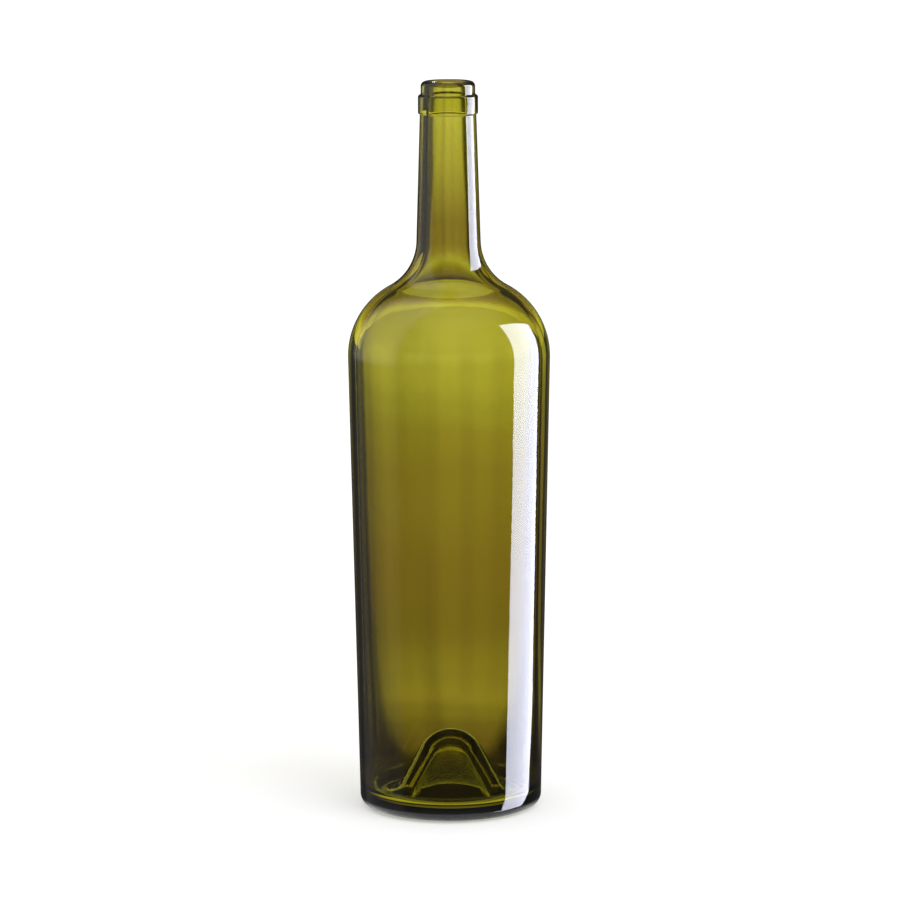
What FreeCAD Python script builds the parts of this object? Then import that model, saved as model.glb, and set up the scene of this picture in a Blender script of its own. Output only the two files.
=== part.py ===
import FreeCAD, Part
import math
import os

# A magnum wine bottle: one piece of blown glass holding 1.5 litres, of the tapered claret shape with a
# flat-banded cork finish, a long neck, a round shoulder and a deep conical punt. Millimetres, +Z up.
# The bottle is a solid of revolution about Z and stands on its bearing ring at z = 0, mouth up.

# Outside of the body, neck and shoulder. The body widens steadily from the heel to the shoulder.
HEIGHT = 368.0
HEEL_RADIUS = 46.0            # where the body's side would meet the ground
SHOULDER_RADIUS = 51.25       # where the body's side would meet the slope of the shoulder
SHOULDER_HEIGHT = 253.6
NECK_FOOT_RADIUS = 16.6       # where the slope of the shoulder would meet the neck
NECK_FOOT_HEIGHT = 272.6
NECK_TOP_RADIUS = 14.1
HEEL_ROUNDING = 5.0
SHOULDER_ROUNDING = 40.0
NECK_FOOT_ROUNDING = 26.5

# Cork finish: a banded collar with a narrower lip above it.
COLLAR_RADIUS = 15.0
COLLAR_HEIGHT = 9.6
COLLAR_TOP_ROUNDING = 1.3
COLLAR_FOOT_ROUNDING = 0.7
LIP_RADIUS = 13.6
LIP_HEIGHT = 6.7
LIP_ROUNDING = 2.6
STEP_ROUNDING = 0.5           # in the inner corners above and below the collar

# Inside: an 18.5 mm cork bore that widens slowly down the neck, and an even wall below it.
BORE_RADIUS = 9.25
BORE_EDGE_ROUNDING = 1.4
NECK_GLASS = 4.5
BODY_GLASS = 4.5
SHOULDER_GLASS = 4.8
FLOOR_HEIGHT = 5.8            # lowest point inside, in the valley round the punt
FLOOR_ROUNDING = 7.0          # from the wall down into the valley
VALLEY_ROUNDING = 9.0         # from the valley up onto the punt

# Punt: a cone with a ball-shaped tip, pushed up into the bottle from the bearing ring.
PUNT_DEPTH = 30.0
PUNT_BALL_RADIUS = 10.0
PUNT_HALF_ANGLE = math.radians(28.7)
PUNT_GLASS = 8.0
PUNT_FOOT_HEIGHT = 3.5
PUNT_FOOT_ROUNDING = 12.0
BEARING_INNER_RADIUS = 37.0
BEARING_ROUNDING = 3.0


def point(radius, height):
    """A point of the half section, in the XZ plane."""
    return FreeCAD.Vector(radius, 0, height)


def cone_radius(tip_radius, tip_height, height):
    """Radius of the punt's cone at a height, from a known place on it."""
    return tip_radius + (tip_height - height) * math.tan(PUNT_HALF_ANGLE)


def dome(top, ball_radius):
    """The punt's ball-shaped tip: its arc from the axis to where the cone leaves it, and that place."""
    centre = top - ball_radius

    def on_ball(angle):
        return point(ball_radius * math.cos(angle), centre + ball_radius * math.sin(angle))

    rim = on_ball(PUNT_HALF_ANGLE)
    middle = on_ball((PUNT_HALF_ANGLE + math.pi / 2) / 2)
    return Part.Arc(point(0, top), middle, rim).toShape(), rim


def rounded_edges(start, corners, end):
    """Lines from start to end by way of (radius, height, rounding) corners, each rounded by an arc."""
    stops = [start] + [point(radius, height) for radius, height, _ in corners] + [end]
    edges = []
    last = start
    for before, corner, after, (_, _, rounding) in zip(stops, stops[1:], stops[2:], corners):
        arriving = (corner - before).normalize()
        leaving = (after - corner).normalize()
        half_turn = arriving.getAngle(leaving) / 2
        setback = rounding * math.tan(half_turn)
        towards_centre = (leaving - arriving).normalize()
        arc_start = corner - arriving * setback
        arc_end = corner + leaving * setback
        arc_middle = corner + towards_centre * (rounding / math.cos(half_turn) - rounding)
        edges.append(Part.LineSegment(last, arc_start).toShape())
        edges.append(Part.Arc(arc_start, arc_middle, arc_end).toShape())
        last = arc_end
    edges.append(Part.LineSegment(last, end).toShape())
    return edges


def outside_corners():
    """Corners from the bearing ring's inner edge out, up the side and over the lip's outer edge."""
    lip_foot = HEIGHT - LIP_HEIGHT
    collar_foot = lip_foot - COLLAR_HEIGHT
    return [
        (BEARING_INNER_RADIUS, 0, BEARING_ROUNDING),
        (HEEL_RADIUS, 0, HEEL_ROUNDING),
        (SHOULDER_RADIUS, SHOULDER_HEIGHT, SHOULDER_ROUNDING),
        (NECK_FOOT_RADIUS, NECK_FOOT_HEIGHT, NECK_FOOT_ROUNDING),
        (NECK_TOP_RADIUS, collar_foot, STEP_ROUNDING / 2),
        (COLLAR_RADIUS, collar_foot, COLLAR_FOOT_ROUNDING),
        (COLLAR_RADIUS, lip_foot, COLLAR_TOP_ROUNDING),
        (LIP_RADIUS, lip_foot, STEP_ROUNDING),
        (LIP_RADIUS, HEIGHT, LIP_ROUNDING),
    ]


def inside_corners():
    """Corners from the bore's edge down the inside to the floor beside the punt's foot."""
    slope = math.atan2(NECK_FOOT_HEIGHT - SHOULDER_HEIGHT, SHOULDER_RADIUS - NECK_FOOT_RADIUS)
    drop = SHOULDER_GLASS / math.cos(slope)
    neck_foot = NECK_FOOT_RADIUS - NECK_GLASS
    shoulder = SHOULDER_RADIUS - BODY_GLASS
    # The inner slope is the outer one moved in by the shoulder's glass.
    neck_foot_height = NECK_FOOT_HEIGHT + NECK_GLASS * math.tan(slope) - drop
    shoulder_height = SHOULDER_HEIGHT + BODY_GLASS * math.tan(slope) - drop
    taper = (SHOULDER_RADIUS - HEEL_RADIUS) / SHOULDER_HEIGHT
    floor_radius = HEEL_RADIUS + FLOOR_HEIGHT * taper - BODY_GLASS
    return [
        (BORE_RADIUS, HEIGHT, BORE_EDGE_ROUNDING),
        (neck_foot, neck_foot_height, NECK_FOOT_ROUNDING + NECK_GLASS),
        (shoulder, shoulder_height, SHOULDER_ROUNDING - SHOULDER_GLASS),
        (floor_radius, FLOOR_HEIGHT, FLOOR_ROUNDING),
    ]


def make_bottle():
    """The whole bottle, its outside and inside outlines turned about the axis in one piece."""
    under_tip, under_rim = dome(PUNT_DEPTH, PUNT_BALL_RADIUS)
    inner_tip, inner_rim = dome(PUNT_DEPTH + PUNT_GLASS, PUNT_BALL_RADIUS + PUNT_GLASS)
    under_foot_radius = cone_radius(under_rim.x, under_rim.z, PUNT_FOOT_HEIGHT)
    inner_foot_radius = cone_radius(inner_rim.x, inner_rim.z, FLOOR_HEIGHT)
    under_foot = (under_foot_radius, PUNT_FOOT_HEIGHT, PUNT_FOOT_ROUNDING)
    inner_foot = (inner_foot_radius, FLOOR_HEIGHT, VALLEY_ROUNDING)
    corners = [under_foot] + outside_corners() + inside_corners() + [inner_foot]
    axis_edge = Part.LineSegment(point(0, PUNT_DEPTH + PUNT_GLASS), point(0, PUNT_DEPTH)).toShape()
    edges = [axis_edge, under_tip] + rounded_edges(under_rim, corners, inner_rim) + [inner_tip]
    outline = Part.Wire(Part.__sortEdges__(edges))
    return Part.Face(outline).revolve(FreeCAD.Vector(0, 0, 0), FreeCAD.Vector(0, 0, 1), 360)


os.makedirs("parts", exist_ok=True)
bottle = make_bottle()
bottle.exportStep("parts/bottle.step")
print("glass", round(bottle.Volume / 1000, 1), "ml, mass at 2.5 kg/l", round(bottle.Volume * 2.5e-6, 3), "kg")
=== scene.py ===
import math

import bpy
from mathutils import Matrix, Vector, noise


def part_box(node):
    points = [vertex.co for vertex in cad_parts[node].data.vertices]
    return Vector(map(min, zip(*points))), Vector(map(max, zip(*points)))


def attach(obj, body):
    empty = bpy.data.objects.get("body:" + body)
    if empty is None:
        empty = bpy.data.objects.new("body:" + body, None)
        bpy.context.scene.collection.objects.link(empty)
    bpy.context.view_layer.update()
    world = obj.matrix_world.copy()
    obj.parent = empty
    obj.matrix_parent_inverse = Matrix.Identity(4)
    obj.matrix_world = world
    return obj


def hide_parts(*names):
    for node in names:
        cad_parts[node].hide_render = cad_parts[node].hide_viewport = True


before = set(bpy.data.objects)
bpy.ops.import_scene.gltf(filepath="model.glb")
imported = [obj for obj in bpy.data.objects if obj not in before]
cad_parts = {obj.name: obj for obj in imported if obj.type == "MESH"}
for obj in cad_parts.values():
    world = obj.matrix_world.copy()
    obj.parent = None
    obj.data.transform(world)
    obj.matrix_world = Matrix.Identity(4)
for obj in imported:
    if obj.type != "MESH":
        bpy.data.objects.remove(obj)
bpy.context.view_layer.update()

# A magnum wine bottle of olive glass, standing empty on a pale floor in a studio. Metres, +Z up.
# The glass is one closed mesh turned about the Z axis from the same sizes as the plain solid, with what the
# solid leaves out: waves in the inner wall, two mould seams and a knurled bearing ring.

MM = 0.001
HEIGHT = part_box("bottle")[1].z / MM

# Outside, in millimetres, as are all sizes down to the relief.
HEEL_RADIUS = 46.0
SHOULDER_RADIUS = 51.25
SHOULDER_HEIGHT = 253.6
NECK_FOOT_RADIUS = 16.6
NECK_FOOT_HEIGHT = 272.6
NECK_TOP_RADIUS = 14.1
HEEL_ROUNDING = 5.0
SHOULDER_ROUNDING = 40.0
NECK_FOOT_ROUNDING = 26.5

# Cork finish.
COLLAR_RADIUS = 15.0
COLLAR_HEIGHT = 9.6
COLLAR_TOP_ROUNDING = 1.3
COLLAR_FOOT_ROUNDING = 0.7
LIP_RADIUS = 13.6
LIP_HEIGHT = 6.7
LIP_ROUNDING = 2.6
STEP_ROUNDING = 0.5

# Inside: the cork bore, the glass's thickness and the valley round the punt.
BORE_RADIUS = 9.25
BORE_EDGE_ROUNDING = 1.4
NECK_GLASS = 4.5
BODY_GLASS = 4.5
SHOULDER_GLASS = 4.8
FLOOR_HEIGHT = 5.8
FLOOR_ROUNDING = 7.0
VALLEY_ROUNDING = 9.0

# Punt: a cone with a ball-shaped tip, pushed up from the bearing ring.
PUNT_DEPTH = 30.0
PUNT_BALL_RADIUS = 10.0
PUNT_HALF_ANGLE = math.radians(28.7)
PUNT_GLASS = 8.0
PUNT_FOOT_HEIGHT = 3.5
PUNT_FOOT_ROUNDING = 12.0
BEARING_INNER_RADIUS = 37.0
BEARING_ROUNDING = 3.0

# What blowing leaves in the glass: slow waves in the inner wall, and two seams where the mould's halves met,
# turned away from the front. The bearing ring is knurled so that the hot bottle doesn't crack on the belt.
WAVE_DEPTH = 0.16
WAVE_LENGTH = 48.0
WAVE_ROUND = 1.7
WAVE_FADE = 25.0
WAVE_SEED = Vector((3.1, 7.4, 1.9))
SEAM_TURN = math.radians(24)
SEAM_HALF_WIDTH = 0.45
SEAM_RISE = 0.07
SEAM_FOOT = 6.0
SEAM_FADE = 30.0
KNURLS = 128
KNURL_DEPTH = 0.22

# How finely the outline is followed, and how many steps go round.
STRAIGHT_STEP = 6.0
ARC_STEP = 1.6
ARC_TURN = math.radians(9)
ARC_LEAST = 3
ROUND_STEPS = 256


def arc_points(centre, radius, start, end):
    """Points along an arc of the half section, from one angle to another, without its first point."""
    turn = abs(end - start)
    count = max(ARC_LEAST, math.ceil(turn / ARC_TURN), math.ceil(turn * radius / ARC_STEP))
    angles = [start + (end - start) * i / count for i in range(1, count + 1)]
    return [centre + radius * Vector((math.cos(a), math.sin(a))) for a in angles]


def line_points(start, end):
    """Points along a straight stretch, without its first point."""
    count = max(1, math.ceil((end - start).length / STRAIGHT_STEP))
    return [start.lerp(end, i / count) for i in range(1, count + 1)]


def rounded_points(start, corners, end):
    """Points from start to end by way of (radius, height, rounding) corners, each rounded by an arc."""
    stops = [start] + [Vector(corner[:2]) for corner in corners] + [end]
    points = [start]
    for before, corner, after, (_, _, rounding) in zip(stops, stops[1:], stops[2:], corners):
        arriving = (corner - before).normalized()
        leaving = (after - corner).normalized()
        half_turn = arriving.angle(leaving) / 2
        setback = rounding * math.tan(half_turn)
        centre = corner + (leaving - arriving).normalized() * rounding / math.cos(half_turn)
        arc_start = corner - arriving * setback
        first = (arc_start - centre).angle_signed(Vector((1, 0)))
        sense = 1 if arriving.cross(leaving) > 0 else -1
        points += line_points(points[-1], arc_start)
        points += arc_points(centre, rounding, first, first + 2 * half_turn * sense)
    return points + line_points(points[-1], end)


def dome_points(top, ball_radius):
    """The punt's ball-shaped tip, from the axis to where the cone leaves it."""
    centre = Vector((0, top - ball_radius))
    return [Vector((0, top))] + arc_points(centre, ball_radius, math.pi / 2, PUNT_HALF_ANGLE)


def cone_radius(rim, height):
    """Radius of the punt's cone at a height, from the rim of its ball-shaped tip."""
    return rim.x + (rim.y - height) * math.tan(PUNT_HALF_ANGLE)


def outside_corners():
    """Corners from the bearing ring's inner edge out, up the side and over the lip's outer edge."""
    lip_foot = HEIGHT - LIP_HEIGHT
    collar_foot = lip_foot - COLLAR_HEIGHT
    return [
        (BEARING_INNER_RADIUS, 0, BEARING_ROUNDING),
        (HEEL_RADIUS, 0, HEEL_ROUNDING),
        (SHOULDER_RADIUS, SHOULDER_HEIGHT, SHOULDER_ROUNDING),
        (NECK_FOOT_RADIUS, NECK_FOOT_HEIGHT, NECK_FOOT_ROUNDING),
        (NECK_TOP_RADIUS, collar_foot, STEP_ROUNDING / 2),
        (COLLAR_RADIUS, collar_foot, COLLAR_FOOT_ROUNDING),
        (COLLAR_RADIUS, lip_foot, COLLAR_TOP_ROUNDING),
        (LIP_RADIUS, lip_foot, STEP_ROUNDING),
        (LIP_RADIUS, HEIGHT, LIP_ROUNDING),
    ]


def inside_corners():
    """Corners from the bore's edge down the inside to the floor beside the punt's foot."""
    slope = math.atan2(NECK_FOOT_HEIGHT - SHOULDER_HEIGHT, SHOULDER_RADIUS - NECK_FOOT_RADIUS)
    drop = SHOULDER_GLASS / math.cos(slope)
    neck_foot_height = NECK_FOOT_HEIGHT + NECK_GLASS * math.tan(slope) - drop
    shoulder_height = SHOULDER_HEIGHT + BODY_GLASS * math.tan(slope) - drop
    taper = (SHOULDER_RADIUS - HEEL_RADIUS) / SHOULDER_HEIGHT
    return [
        (BORE_RADIUS, HEIGHT, BORE_EDGE_ROUNDING),
        (NECK_FOOT_RADIUS - NECK_GLASS, neck_foot_height, NECK_FOOT_ROUNDING + NECK_GLASS),
        (SHOULDER_RADIUS - BODY_GLASS, shoulder_height, SHOULDER_ROUNDING - SHOULDER_GLASS),
        (HEEL_RADIUS + FLOOR_HEIGHT * taper - BODY_GLASS, FLOOR_HEIGHT, FLOOR_ROUNDING),
    ]


def half_section():
    """The outline from the punt's tip on the outside, over the lip, to the punt's tip on the inside."""
    under_tip = dome_points(PUNT_DEPTH, PUNT_BALL_RADIUS)
    inner_tip = dome_points(PUNT_DEPTH + PUNT_GLASS, PUNT_BALL_RADIUS + PUNT_GLASS)
    under_foot = (cone_radius(under_tip[-1], PUNT_FOOT_HEIGHT), PUNT_FOOT_HEIGHT, PUNT_FOOT_ROUNDING)
    inner_foot = (cone_radius(inner_tip[-1], FLOOR_HEIGHT), FLOOR_HEIGHT, VALLEY_ROUNDING)
    corners = [under_foot] + outside_corners() + inside_corners() + [inner_foot]
    points = under_tip[:-1] + rounded_points(under_tip[-1], corners, inner_tip[-1])
    return points + inner_tip[-2::-1]


def new_object(name, vertices, faces, smooth=True):
    """A mesh object in the scene."""
    mesh = bpy.data.meshes.new(name)
    mesh.from_pydata(vertices, [], faces)
    mesh.validate()
    mesh.polygons.foreach_set("use_smooth", [smooth] * len(mesh.polygons))
    mesh.update()
    made = bpy.data.objects.new(name, mesh)
    bpy.context.scene.collection.objects.link(made)
    return made


def wave(place, turn):
    """How far the inner wall stands out from its plain turned shape, nothing at the mouth and the floor."""
    top = min(1, max(0, (HEIGHT - place.y) / WAVE_FADE - 1))
    foot = min(1, max(0, place.y / WAVE_FADE - 1))
    where = Vector((WAVE_ROUND * math.cos(turn), WAVE_ROUND * math.sin(turn), place.y / WAVE_LENGTH))
    return WAVE_DEPTH * top * foot * noise.noise(where + WAVE_SEED)


def seam(place, turn):
    """Height of the mould seam on the outside."""
    if place.y < SEAM_FOOT or place.y > HEIGHT - LIP_HEIGHT - COLLAR_HEIGHT:
        return 0.0
    away = (turn - SEAM_TURN + math.pi / 2) % math.pi - math.pi / 2
    fade = min(1, (place.y - SEAM_FOOT) / SEAM_FADE)
    return SEAM_RISE * fade * max(0, 1 - abs(away) * place.x / SEAM_HALF_WIDTH)


def knurl(place, turn):
    """How far a notch of the knurled bearing ring lies above the ground."""
    return KNURL_DEPTH * (1 - math.cos(KNURLS * turn)) / 2 if place.y < KNURL_DEPTH else 0.0


def glass_point(place, turn, inside):
    """A point of the glass surface in metres, from a point of the half section."""
    radius = place.x + (wave(place, turn) if inside else seam(place, turn))
    height = place.y + knurl(place, turn)
    return (radius * math.cos(turn) * MM, radius * math.sin(turn) * MM, height * MM)


def turned_mesh(name, outline, turns):
    """Closed mesh turned about Z from an outline that starts and ends on the axis, in millimetres."""
    rings = outline[1:-1]
    count = len(turns)
    lip = max(range(len(rings)), key=lambda i: rings[i].y)
    vertices = [(0, 0, outline[0].y * MM)]
    for i, place in enumerate(rings):
        vertices += [glass_point(place, turn, i > lip) for turn in turns]
    vertices.append((0, 0, outline[-1].y * MM))
    last = len(vertices) - 1
    first_of_last = 1 + (len(rings) - 1) * count
    faces = []
    for i in range(count):
        j = (i + 1) % count
        faces.append((0, 1 + j, 1 + i))
        faces.append((last, first_of_last + i, first_of_last + j))
        for ring in range(len(rings) - 1):
            low = 1 + ring * count
            faces.append((low + i, low + j, low + count + j, low + count + i))
    return new_object(name, vertices, faces)


def make_bottle():
    """The glass, with three close steps round it at each seam so that the seams stay narrow."""
    turns = {math.tau * i / ROUND_STEPS for i in range(ROUND_STEPS)}
    for side in (SEAM_TURN, SEAM_TURN + math.pi):
        turns |= {side + part * SEAM_HALF_WIDTH / SHOULDER_RADIUS for part in (-1, 0, 1)}
    return turned_mesh("bottle_glass", half_section(), sorted(turns))


# Glass: a faint orange peel, and duller patches that begin above the base. Heights and depths in metres.
GLASS_IOR = 1.52
ABSORPTION = 350.0
GLASS_TINT = (0.769, 0.746, 0.0, 1)
PEEL_SCALE = 150.0
PEEL_DETAIL = 1.0
PEEL_DEPTH = 0.000012
DULL_SCALE = 25.0
DULL_DETAIL = 3.0
DULL_FROM, DULL_TO = 0.5, 0.75
DULL_ROUGHNESS = 0.02
DULL_FOOT = 0.045
STIPPLE_TOP = 0.0015
STIPPLE_ROUGHNESS = 0.3


def add_node(tree, kind, settings=None, values=None, links=None):
    """A shader node with its settings, its unlinked socket values, and its links from other sockets."""
    made = tree.nodes.new(kind)
    for name, value in (settings or {}).items():
        setattr(made, name, value)
    for name, value in (values or {}).items():
        made.inputs[name].default_value = value
    for name, source in (links or {}).items():
        tree.links.new(source, made.inputs[name])
    return made


def do_math(tree, operation, *sources):
    """The output of a Math node; each source is a number or a socket."""
    made = tree.nodes.new("ShaderNodeMath")
    made.operation = operation
    for socket, source in zip(made.inputs, sources):
        if isinstance(source, (int, float)):
            socket.default_value = source
        else:
            tree.links.new(source, socket)
    return made.outputs[0]


def new_material(name):
    """An empty material and its node tree."""
    material = bpy.data.materials.new(name)
    material.use_nodes = True
    material.node_tree.nodes.clear()
    return material, material.node_tree


def smooth_between(tree, value, start, end):
    """0 at start and 1 at end, smooth between them and level outside, whichever of the two is larger."""
    reach = {"From Min": start, "From Max": end, "To Min": 0.0, "To Max": 1.0}
    made = add_node(tree, "ShaderNodeMapRange", {"interpolation_type": "SMOOTHSTEP"}, reach, {"Value": value})
    return made.outputs[0]


def band(tree, value, low, high, soft):
    """1 between low and high, falling to 0 over soft at each side."""
    rise = smooth_between(tree, value, low - soft / 2, low + soft / 2)
    fall = smooth_between(tree, value, high + soft / 2, high - soft / 2)
    return do_math(tree, "MULTIPLY", rise, fall)


def object_place(tree):
    """Where a shaded point lies on its object."""
    return add_node(tree, "ShaderNodeTexCoord").outputs["Object"]


def height_of(tree, place):
    """Height of a place."""
    return add_node(tree, "ShaderNodeSeparateXYZ", links={"Vector": place}).outputs["Z"]


def bearing_of(tree, x, y):
    """Bearing in degrees, 0 straight behind the bottle and growing to the right."""
    return do_math(tree, "DEGREES", do_math(tree, "ARCTAN2", x, y))


def mix_shaders(tree, share, first, second):
    """The first shader where the share is 0, and the second where it is 1."""
    shaders = {"Fac": share, 1: first.outputs[0], 2: second.outputs[0]}
    return add_node(tree, "ShaderNodeMixShader", links=shaders).outputs[0]


def mix_colours(tree, share, first, second):
    """The first colour where the share is 0, and the second where it is 1."""
    colours = {"Factor": share, "A": first, "B": second}
    return add_node(tree, "ShaderNodeMix", {"data_type": "RGBA"}, links=colours).outputs["Result"]


def scaled(tree, colour, scale):
    """A colour, three numbers or a socket, times what another socket gives."""
    made = add_node(tree, "ShaderNodeVectorMath", {"operation": "SCALE"}, links={"Scale": scale})
    if isinstance(colour, tuple):
        made.inputs[0].default_value = colour
    else:
        tree.links.new(colour, made.inputs[0])
    return made.outputs[0]


def add_grey(tree, colour, level):
    """A colour with the same level added to its red, green and blue."""
    grey = add_node(tree, "ShaderNodeCombineXYZ", links={"X": level, "Y": level, "Z": level})
    both = {0: colour, 1: grey.outputs[0]}
    return add_node(tree, "ShaderNodeVectorMath", {"operation": "ADD"}, links=both).outputs[0]


def set_stops(ramp, stops):
    """Give a fresh colour ramp, which has two stops already, its (position, colour) stops."""
    for i, (position, colour) in enumerate(stops):
        stop = ramp.elements[i] if i < 2 else ramp.elements.new(position)
        stop.position = position
        stop.color = colour


def glass_material():
    """Polished olive glass with a faint orange peel, a few duller patches and a stippled bearing ring."""
    material, tree = new_material("olive_glass")
    place = object_place(tree)
    height = height_of(tree, place)
    peel = add_node(tree, "ShaderNodeTexNoise", values={"Scale": PEEL_SCALE, "Detail": PEEL_DETAIL},
                    links={"Vector": place})
    dull = add_node(tree, "ShaderNodeTexNoise", values={"Scale": DULL_SCALE, "Detail": DULL_DETAIL},
                    links={"Vector": place})
    patches = do_math(tree, "MULTIPLY", smooth_between(tree, dull.outputs[0], DULL_FROM, DULL_TO),
                      smooth_between(tree, height, DULL_FOOT, 1.5 * DULL_FOOT))
    stipple = smooth_between(tree, height, STIPPLE_TOP, STIPPLE_TOP / 3)
    roughness = do_math(tree, "MULTIPLY", patches, DULL_ROUGHNESS)
    roughness = do_math(tree, "MULTIPLY_ADD", stipple, STIPPLE_ROUGHNESS, roughness)
    bump = add_node(tree, "ShaderNodeBump", values={"Strength": 1.0, "Distance": PEEL_DEPTH},
                    links={"Height": peel.outputs[0]})
    surface = add_node(tree, "ShaderNodeBsdfPrincipled",
                       values={"Base Color": (1, 1, 1, 1), "Transmission Weight": 1.0, "IOR": GLASS_IOR},
                       links={"Roughness": roughness, "Normal": bump.outputs[0]})
    clear = add_node(tree, "ShaderNodeBsdfTransparent")
    path = add_node(tree, "ShaderNodeLightPath")
    mixed = mix_shaders(tree, path.outputs["Is Shadow Ray"], surface, clear)
    volume = add_node(tree, "ShaderNodeVolumeAbsorption", values={"Color": GLASS_TINT, "Density": ABSORPTION})
    add_node(tree, "ShaderNodeOutputMaterial", links={"Surface": mixed, "Volume": volume.outputs[0]})
    return material


# The floor: how pale it is, what the camera sees it give off, and how far it reaches from under the bottle.
PALE = (0.8, 0.8, 0.8, 1)
FLOOR_GLOW = 0.34
FLOOR_REACH = 30.0
FLOOR_DROP = 0.0005

# The table that the glass shows by refraction, painted light and shade that the floor gives off: distance
# from the bottle's axis in metres, brightness, and the green and blue left in it. A painted shadow lies under
# and near the bottle, and painted light grows more and more behind it.
TABLE_PAINTED_LIGHT = [
    (0.030, 0.02, 0.75, 0.60),
    (0.050, 0.02, 0.75, 0.60),
    (0.085, 0.06, 0.75, 0.50),
    (0.135, 0.28, 0.75, 0.50),
    (0.170, 0.34, 0.80, 0.50),
    (0.206, 0.45, 0.84, 0.50),
    (0.243, 0.57, 0.86, 0.54),
    (0.307, 0.50, 0.86, 0.54),
    (0.444, 0.40, 0.80, 0.50),
    (0.580, 0.43, 0.76, 0.50),
    (0.935, 0.51, 0.83, 0.55),
    (1.123, 0.57, 0.88, 0.55),
    (1.264, 0.68, 0.96, 0.62),
    (1.417, 0.84, 0.98, 0.75),
    (1.620, 0.97, 1.00, 0.95),
    (2.100, 1.05, 1.00, 1.00),
]
TABLE_NEAR, TABLE_FAR = 0.03, 2.5

# From SHARE_FROM out the shade of the studio's panels and flags is painted on the table. In front of the
# bottle a painted ring of light shines up into the heel, and a weaker one reaches under it. These are
# distances from the axis in metres, and FRONT_SIDE is the place along Y from which the rings are whole.
SHARE_FROM, SHARE_TO = 0.06, 0.12
FRONT_FROM, FRONT_TO = 0.042, 0.066
FRONT_SOFT = 0.001
FRONT_LEVEL = 1.2
FRONT_SIDE = -0.025
UNDER_FROM, UNDER_TO = 0.027, 0.0385
UNDER_SOFT = 0.002
UNDER_LEVEL = 0.32

# How much of the wall behind the table is lit at each bearing, in degrees, and how much painted light the
# table gets there. One lit panel stands behind the bottle, with a narrow card at the right, dark flags at
# both sides, and a panel every 45 degrees from there on.
PANEL_FROM, PANEL_TO = -45.0, 45.0
PANEL = [
    (-45.0, 0.0), (-26.0, 0.03), (-20.0, 0.12), (-17.0, 0.35), (-14.0, 0.7), (-11.0, 0.84), (-8.0, 0.93),
    (-5.5, 0.90), (-3.2, 0.82), (-1.5, 0.93), (0.5, 1.0), (4.0, 1.0), (9.5, 1.0), (12.0, 0.82), (14.5, 0.45),
    (18.0, 0.12), (24.0, 0.03), (45.0, 0.0),
]
PANEL_PEAK = 1.25
CARD_FROM, CARD_TO = 29.0, 40.0
CARD_SOFT = 4.0
CARD_LEVEL = 0.9
FLAG_LEVEL = 0.03
REST_FROM, REST_TO = 58.0, 68.0
REST_PANELS = 8
REST_BEAT_FROM, REST_BEAT_TO = -0.7, 0.1
REST_DIM = 0.2

# The wall above the horizon, whole up to one rise and gone from another, in degrees, with a dim ceiling
# over it. A bright strip runs along it at both sides of a gap straight behind the bottle.
WALL_LEVEL = 1.45
WALL_WHOLE_TO, WALL_GONE_FROM = 12.0, 17.0
CEILING_LEVEL = 0.10
STRIP_FROM, STRIP_TO = -50.0, 26.0
STRIP_SOFT = 5.0
STRIP_GAP = 11.0
STRIP_GAP_SOFT = 6.0
STRIP_LEVEL = 1.8

# A ring of grey gel round the neck, between the bottle and the studio, that paints shade into the neck:
# height in metres, and red, green and blue that it lets through. Only light that comes through the glass
# passes it.
GEL_RADIUS = 0.12
GEL_STEPS = 64
NECK_PAINTED_SHADE = [
    (0.257, 1.00, 1.00, 1.00),
    (0.264, 0.66, 0.58, 0.56),
    (0.271, 0.48, 0.39, 0.40),
    (0.284, 0.48, 0.39, 0.42),
    (0.300, 0.66, 0.60, 0.62),
    (0.316, 0.84, 0.80, 0.80),
    (0.340, 1.00, 1.00, 1.00),
]

# The tall softbox at the right. Bearings in degrees; the top is the tangent of the rise straight across. Its
# upright edges lean once they are so many degrees below the horizon.
SOFTBOX_FROM, SOFTBOX_TO = 57.0, 100.6
SOFTBOX_SIDE_SOFT = 1.6
SOFTBOX_LIFT_FROM, SOFTBOX_LIFT = 14.3, 4.5
SOFTBOX_LEAN_FROM, SOFTBOX_LEAN = 12.0, 1.25
SOFTBOX_FACING = 125.0
SOFTBOX_TOP = 0.958
SOFTBOX_TOP_SOFT = 0.015
SOFTBOX_COLOUR = (10.6, 10.9, 13.0)

# What else the glass mirrors: a dim surround, a weak fill light at the left, a bright ceiling and a pale
# table.
SURROUND_LEVEL = 0.06
FILL_FROM, FILL_TO = -118.0, -42.0
FILL_SOFT = 16.0
FILL_LEVEL = 0.16
FILL_UPPER_FROM, FILL_UPPER_TO = -9.0, -4.0
FILL_UPPER_PART = 0.5
OVERHEAD_FROM, OVERHEAD_TO = 38.0, 62.0
OVERHEAD_LEVEL = 0.3
MIRRORED_TABLE_FROM, MIRRORED_TABLE_TO = 16.0, 34.0
MIRRORED_TABLE_LEVEL = 1.2

# The surround of everything but the glass: white to the camera, and a little less as a light on the floor.
PLAIN_LEVEL = 0.8

# A wide soft lamp, tilted from straight overhead.
LAMP_STRENGTH = 0.8
LAMP_WIDTH = math.radians(40)
LAMP_TILT = (math.radians(25), math.radians(30), 0)

# The camera: place in metres, tilts, and sensor and lens in millimetres.
CAMERA_PLACE = (0.0003, -2.15, 0.552)
CAMERA_PITCH = 0.17046
CAMERA_ROLL = math.radians(-0.235)
CAMERA_SENSOR = 36.0
CAMERA_LENS = 173.1
CAMERA_REACH = 100

# How many times light is followed through the glass, and how many times it is mirrored.
GLASS_BOUNCES = 32
MIRROR_BOUNCES = 16


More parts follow.
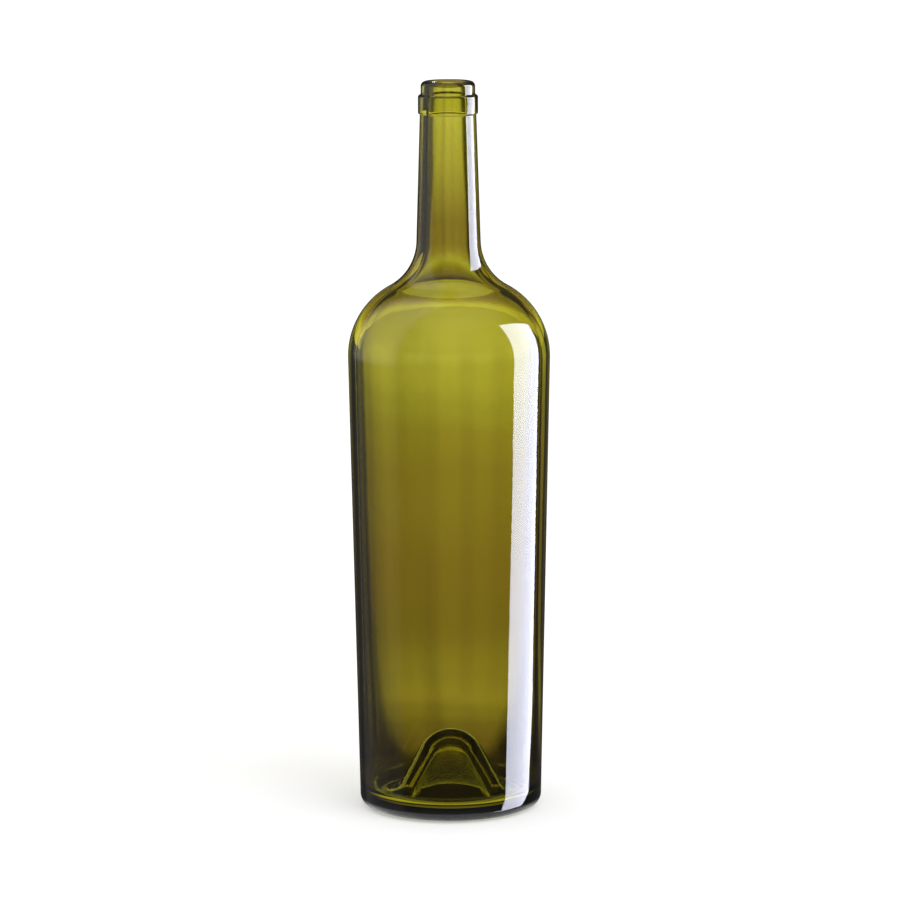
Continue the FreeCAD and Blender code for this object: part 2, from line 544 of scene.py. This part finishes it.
def curve_through(tree, value, stops, low, high, peak):
    """A smooth curve through (value, level) stops that reach from low to high."""
    share = do_math(tree, "DIVIDE", do_math(tree, "SUBTRACT", value, low), high - low)
    made = add_node(tree, "ShaderNodeFloatCurve", links={"Value": share})
    points = made.mapping.curves[0].points
    places = [((where - low) / (high - low), level / peak) for where, level in stops]
    points[0].location = places[0]
    points[1].location = places[-1]
    for place in places[1:-1]:
        points.new(*place)
    for point in points:
        point.handle_type = "AUTO_CLAMPED"
    made.mapping.update()
    return do_math(tree, "MULTIPLY", made.outputs[0], peak)


def lit_share(tree, bearing):
    """How much of the studio is lit at a bearing."""
    inside = do_math(tree, "MINIMUM", do_math(tree, "MAXIMUM", bearing, PANEL_FROM), PANEL_TO)
    panel = curve_through(tree, inside, PANEL, PANEL_FROM, PANEL_TO, PANEL_PEAK)
    card = do_math(tree, "MULTIPLY", band(tree, bearing, CARD_FROM, CARD_TO, CARD_SOFT), CARD_LEVEL)
    behind = do_math(tree, "MAXIMUM", do_math(tree, "ADD", panel, card), FLAG_LEVEL)
    beat = do_math(tree, "COSINE", do_math(tree, "MULTIPLY", do_math(tree, "RADIANS", bearing), REST_PANELS))
    lit = smooth_between(tree, beat, REST_BEAT_FROM, REST_BEAT_TO)
    lit = do_math(tree, "MULTIPLY_ADD", lit, 1.0 - REST_DIM, REST_DIM)
    away = do_math(tree, "ABSOLUTE", bearing)
    rest = do_math(tree, "MULTIPLY", lit, smooth_between(tree, away, REST_FROM, REST_TO))
    return do_math(tree, "MAXIMUM", behind, rest)


def table_place(distance):
    """Where a distance from the axis falls between the table's near and far ends, on a scale of ratios."""
    return math.log(distance / TABLE_NEAR) / math.log(TABLE_FAR / TABLE_NEAR)


def painted_table_shading(tree, distance):
    """Painted light and shade of the table at a distance from the axis, as colour and brightness."""
    ratio = do_math(tree, "DIVIDE", do_math(tree, "MAXIMUM", distance, TABLE_NEAR), TABLE_NEAR)
    place = do_math(tree, "LOGARITHM", ratio, TABLE_FAR / TABLE_NEAR)
    made = add_node(tree, "ShaderNodeValToRGB", links={"Fac": place})
    made.color_ramp.interpolation = "EASE"
    stops = [(table_place(far), (level, level * green, level * blue, 1)) for far, level, green, blue in TABLE_PAINTED_LIGHT]
    set_stops(made.color_ramp, stops)
    return made.outputs[0]


def painted_table_light(tree):
    """The table's painted light and shade at a place on the floor, with the painted rings of light in front
    of the bottle and under it.
    """
    place = object_place(tree)
    x, y, _ = add_node(tree, "ShaderNodeSeparateXYZ", links={"Vector": place}).outputs
    length = add_node(tree, "ShaderNodeVectorMath", {"operation": "LENGTH"}, links={0: place})
    distance = length.outputs["Value"]
    # Painted shade of the studio's panels and flags, and painted rings of light in front of and under the
    # bottle.
    shade = do_math(tree, "SUBTRACT", lit_share(tree, bearing_of(tree, x, y)), 1.0)
    share = do_math(tree, "MULTIPLY_ADD", shade, smooth_between(tree, distance, SHARE_FROM, SHARE_TO), 1.0)
    front = do_math(tree, "MULTIPLY", band(tree, distance, FRONT_FROM, FRONT_TO, FRONT_SOFT), FRONT_LEVEL)
    under = band(tree, distance, UNDER_FROM, UNDER_TO, UNDER_SOFT)
    front = do_math(tree, "MULTIPLY_ADD", under, UNDER_LEVEL, front)
    front = do_math(tree, "MULTIPLY", front, smooth_between(tree, y, 0.0, FRONT_SIDE))
    return add_grey(tree, scaled(tree, painted_table_shading(tree, distance), share), front)


def past(tree, value, start, gain):
    """Nothing up to start, and gain times what is beyond it from there on."""
    beyond = do_math(tree, "MAXIMUM", do_math(tree, "SUBTRACT", value, start), 0.0)
    return do_math(tree, "MULTIPLY", beyond, gain)


def softbox_sides(tree, bearing, depression):
    """1 between the softbox's upright edges, which lean with the angle below the horizon."""
    lift = past(tree, depression, SOFTBOX_LIFT_FROM, SOFTBOX_LIFT)
    lean = past(tree, depression, SOFTBOX_LEAN_FROM, SOFTBOX_LEAN)
    soft = SOFTBOX_SIDE_SOFT / 2
    near_side = do_math(tree, "SUBTRACT", bearing, lift)
    far_side = do_math(tree, "SUBTRACT", bearing, lean)
    rise = smooth_between(tree, near_side, SOFTBOX_FROM - soft, SOFTBOX_FROM + soft)
    fall = smooth_between(tree, far_side, SOFTBOX_TO + soft, SOFTBOX_TO - soft)
    return do_math(tree, "MULTIPLY", rise, fall)


def softbox_top(tree, bearing, rise):
    """1 below the softbox's straight top edge, which is highest straight across from it."""
    turn = do_math(tree, "RADIANS", do_math(tree, "SUBTRACT", bearing, SOFTBOX_FACING))
    edge = do_math(tree, "MULTIPLY", do_math(tree, "COSINE", turn), SOFTBOX_TOP)
    slope = do_math(tree, "TANGENT", do_math(tree, "RADIANS", rise))
    return smooth_between(tree, do_math(tree, "SUBTRACT", edge, slope), -SOFTBOX_TOP_SOFT, SOFTBOX_TOP_SOFT)


def seen_through(tree, bearing, rise):
    """What light through the glass sees: the panels, the strip along the wall and a dim ceiling."""
    strip = do_math(tree, "SUBTRACT", band(tree, bearing, STRIP_FROM, STRIP_TO, STRIP_SOFT),
                    band(tree, bearing, -STRIP_GAP, STRIP_GAP, STRIP_GAP_SOFT))
    strip = do_math(tree, "MULTIPLY", strip, STRIP_LEVEL)
    wall = do_math(tree, "MAXIMUM", do_math(tree, "MULTIPLY", lit_share(tree, bearing), WALL_LEVEL), strip)
    low = smooth_between(tree, rise, WALL_GONE_FROM, WALL_WHOLE_TO)
    wall = do_math(tree, "MULTIPLY", do_math(tree, "SUBTRACT", wall, CEILING_LEVEL), low)
    return do_math(tree, "ADD", wall, CEILING_LEVEL)


def seen_mirrored(tree, bearing, rise):
    """What the glass mirrors of the studio: the softbox, the fill light, the ceiling and the pale table."""
    depression = do_math(tree, "MULTIPLY", rise, -1.0)
    sides = softbox_sides(tree, bearing, depression)
    softbox = do_math(tree, "MULTIPLY", sides, softbox_top(tree, bearing, rise))
    upper = smooth_between(tree, rise, FILL_UPPER_FROM, FILL_UPPER_TO)
    fill = do_math(tree, "MULTIPLY_ADD", upper, FILL_UPPER_PART, FILL_LEVEL)
    fill = do_math(tree, "MULTIPLY", fill, band(tree, bearing, FILL_FROM, FILL_TO, FILL_SOFT))
    overhead = smooth_between(tree, rise, OVERHEAD_FROM, OVERHEAD_TO)
    table = smooth_between(tree, depression, MIRRORED_TABLE_FROM, MIRRORED_TABLE_TO)
    dim = do_math(tree, "MULTIPLY_ADD", overhead, OVERHEAD_LEVEL, SURROUND_LEVEL)
    dim = do_math(tree, "MULTIPLY_ADD", table, MIRRORED_TABLE_LEVEL, dim)
    dim = do_math(tree, "ADD", fill, dim)
    return add_grey(tree, scaled(tree, SOFTBOX_COLOUR, softbox), dim)


def make_world():
    """White to the camera; to the glass, a studio of lit panels and dark flags with a tall softbox."""
    world = bpy.data.worlds.new("studio")
    bpy.context.scene.world = world
    world.use_nodes = True
    tree = world.node_tree
    tree.nodes.clear()
    direction = add_node(tree, "ShaderNodeTexCoord").outputs["Generated"]
    x, y, z = add_node(tree, "ShaderNodeSeparateXYZ", links={"Vector": direction}).outputs
    rise = do_math(tree, "DEGREES", do_math(tree, "ARCSINE", z))
    bearing = bearing_of(tree, x, y)
    path = add_node(tree, "ShaderNodeLightPath")
    plain = do_math(tree, "MULTIPLY_ADD", path.outputs["Is Camera Ray"], 1.0 - PLAIN_LEVEL, PLAIN_LEVEL)
    seen = mix_colours(tree, path.outputs["Is Glossy Ray"], plain, seen_mirrored(tree, bearing, rise))
    seen = mix_colours(tree, path.outputs["Is Transmission Ray"], seen, seen_through(tree, bearing, rise))
    surround = add_node(tree, "ShaderNodeBackground", links={"Color": seen})
    add_node(tree, "ShaderNodeOutputWorld", links={"Surface": surround.outputs[0]})


def make_floor():
    """The floor: pale to the camera, and to what the glass shows of it, a table with painted light and shade.
    """
    material, tree = new_material("pale_floor")
    path = add_node(tree, "ShaderNodeLightPath")
    pale = add_node(tree, "ShaderNodeBsdfDiffuse", values={"Color": PALE})
    glow = do_math(tree, "MULTIPLY", path.outputs["Is Camera Ray"], FLOOR_GLOW)
    glow = add_node(tree, "ShaderNodeEmission", links={"Strength": glow})
    both = add_node(tree, "ShaderNodeAddShader", links={0: pale.outputs[0], 1: glow.outputs[0]})
    # What the glass shows of the floor gives off painted light and shade; no lamp lights it.
    table = add_node(tree, "ShaderNodeEmission", links={"Color": painted_table_light(tree)})
    seen = mix_shaders(tree, path.outputs["Is Transmission Ray"], both, table)
    add_node(tree, "ShaderNodeOutputMaterial", links={"Surface": seen})
    corners = [(FLOOR_REACH * x, FLOOR_REACH * y, 0) for x, y in ((-1, -1), (1, -1), (1, 1), (-1, 1))]
    floor = new_object("floor", corners, [(0, 1, 2, 3)], smooth=False)
    floor.location.z = -FLOOR_DROP
    floor.data.materials.append(material)
    floor.visible_glossy = False


def make_neck_shade_gel():
    """The ring of gel round the neck that paints shade into it, seen through the glass alone."""
    material, tree = new_material("neck_shade_gel")
    low, high = NECK_PAINTED_SHADE[0][0], NECK_PAINTED_SHADE[-1][0]
    up = add_node(tree, "ShaderNodeMapRange", values={"From Min": low, "From Max": high},
                  links={"Value": height_of(tree, object_place(tree))})
    made = add_node(tree, "ShaderNodeValToRGB", links={"Fac": up.outputs[0]})
    stops = [((height - low) / (high - low), (red, green, blue, 1)) for height, red, green, blue in NECK_PAINTED_SHADE]
    set_stops(made.color_ramp, stops)
    # The gel's colour ramp paints shade into what the neck shows, darkest across the lower neck.
    clear = add_node(tree, "ShaderNodeBsdfTransparent", links={"Color": made.outputs[0]})
    add_node(tree, "ShaderNodeOutputMaterial", links={"Surface": clear.outputs[0]})
    turns = [math.tau * i / GEL_STEPS for i in range(GEL_STEPS)]
    vertices = [(GEL_RADIUS * math.cos(a), GEL_RADIUS * math.sin(a), h) for h in (low, high) for a in turns]
    faces = []
    for i in range(GEL_STEPS):
        j = (i + 1) % GEL_STEPS
        faces.append((i, j, j + GEL_STEPS, i + GEL_STEPS))
    gel = new_object("neck_shade_gel", vertices, faces)
    gel.data.materials.append(material)
    gel.visible_camera = False
    gel.visible_diffuse = False
    gel.visible_glossy = False
    gel.visible_shadow = False


def add_lamp():
    """A wide soft lamp high at the right."""
    data = bpy.data.lights.new("high_lamp", "SUN")
    data.energy = LAMP_STRENGTH
    data.angle = LAMP_WIDTH
    lamp = bpy.data.objects.new("high_lamp", data)
    lamp.rotation_euler = LAMP_TILT
    lamp.visible_glossy = False
    lamp.visible_transmission = False
    bpy.context.scene.collection.objects.link(lamp)


def add_camera():
    """A long lens a little above the bottle, looking slightly down at it."""
    data = bpy.data.cameras.new("camera")
    data.sensor_width = CAMERA_SENSOR
    data.lens = CAMERA_LENS
    data.clip_end = CAMERA_REACH
    camera = bpy.data.objects.new("camera", data)
    camera.location = CAMERA_PLACE
    camera.rotation_euler = (math.pi / 2 - CAMERA_PITCH, 0, 0)
    camera.rotation_euler.rotate_axis("Z", CAMERA_ROLL)
    bpy.context.scene.collection.objects.link(camera)
    bpy.context.scene.camera = camera


bottle = make_bottle()
bottle.data.materials.append(glass_material())
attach(bottle, "root")
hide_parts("bottle")

make_floor()
make_neck_shade_gel()
make_world()
add_lamp()
add_camera()

scene = bpy.context.scene
scene.view_settings.view_transform = "Standard"
scene.cycles.max_bounces = GLASS_BOUNCES
scene.cycles.transmission_bounces = GLASS_BOUNCES
scene.cycles.transparent_max_bounces = GLASS_BOUNCES
scene.cycles.glossy_bounces = MIRROR_BOUNCES
scene.cycles.use_denoising = True
scene.cycles.use_adaptive_sampling = False
